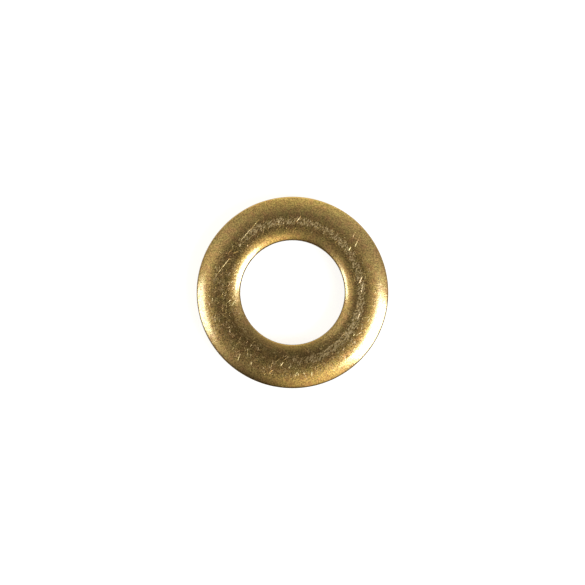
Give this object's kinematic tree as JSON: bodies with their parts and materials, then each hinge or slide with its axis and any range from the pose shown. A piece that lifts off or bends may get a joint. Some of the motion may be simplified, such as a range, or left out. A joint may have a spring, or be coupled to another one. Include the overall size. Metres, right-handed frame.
{
  "type": "flat washer",
  "caption": "Round brass flat washer for an M6 bolt: a stamped ring with a plain bore, the edges of its upper face rolled over by the die.",
  "frame": {"origin": "centre of the lower face, on the axis of the bore", "axes": "+Z along the bore axis, from the flat lower face towards the upper face with the rolled edges; X and Y lie in the lower face"},
  "size_m": [0.0118, 0.0118, 0.0016],
  "materials": {
    "brass": "stamped and tumbled bright, with fine scratches and a scuffed crest"
  },
  "bodies": {
    "root": {"washer": "brass"}
  },
  "joints": []
}
